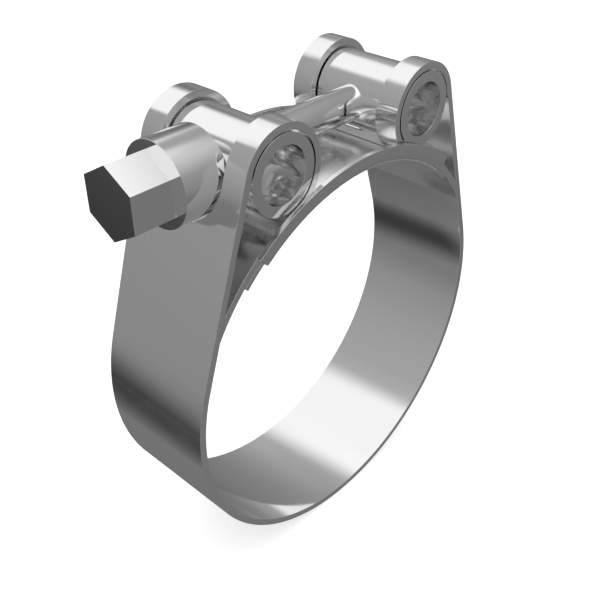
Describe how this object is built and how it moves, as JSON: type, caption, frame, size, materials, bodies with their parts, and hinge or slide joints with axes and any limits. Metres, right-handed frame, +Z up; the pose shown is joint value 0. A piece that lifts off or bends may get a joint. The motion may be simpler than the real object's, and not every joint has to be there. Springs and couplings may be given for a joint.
{
  "type": "t bolt clamp",
  "caption": "Heavy-duty pipe clamp: a band with two rolled loops holds cross bars that a hexagon bolt draws together over a flanged bridge sheet.",
  "frame": {"origin": "the centre of the clamped pipe, on the pipe's axis and halfway across the band", "axes": "+Y along the pipe's axis away from the camera, +X along the bolt from its head to its tip, +Z up from the pipe to the bolt"},
  "size_m": [0.074, 0.025, 0.0833],
  "materials": {
    "band_steel": "bright rolled stainless strip",
    "bridge_steel": "bright rolled stainless sheet",
    "bar_steel": "bright thick-walled stainless tube",
    "sleeve_steel": "turned stainless tube",
    "bolt_steel": "bright stainless bolt"
  },
  "bodies": {
    "clamp": {"band": "band_steel", "bridge": "bridge_steel", "plain_trunnion": "bar_steel", "threaded_trunnion": "bar_steel"},
    "sleeve": {"spacer_sleeve": "sleeve_steel"},
    "bolt": {"hex_bolt": "bolt_steel"}
  },
  "joints": [
    {"name": "bolt_travel", "type": "slide", "parent": "clamp", "child": "sleeve", "axis": [-1, 0, 0], "range_m": [0, 0.012]},
    {"name": "bolt_turn", "type": "hinge", "parent": "sleeve", "child": "bolt", "pos_m": [0, 0, 0.03988], "axis": [-1, 0, 0], "range_deg": [0, 4320]}
  ],
  "couplings": [
    {"joint": "bolt_turn", "follows": "bolt_travel", "rad_per_m": 6283.2}
  ]
}
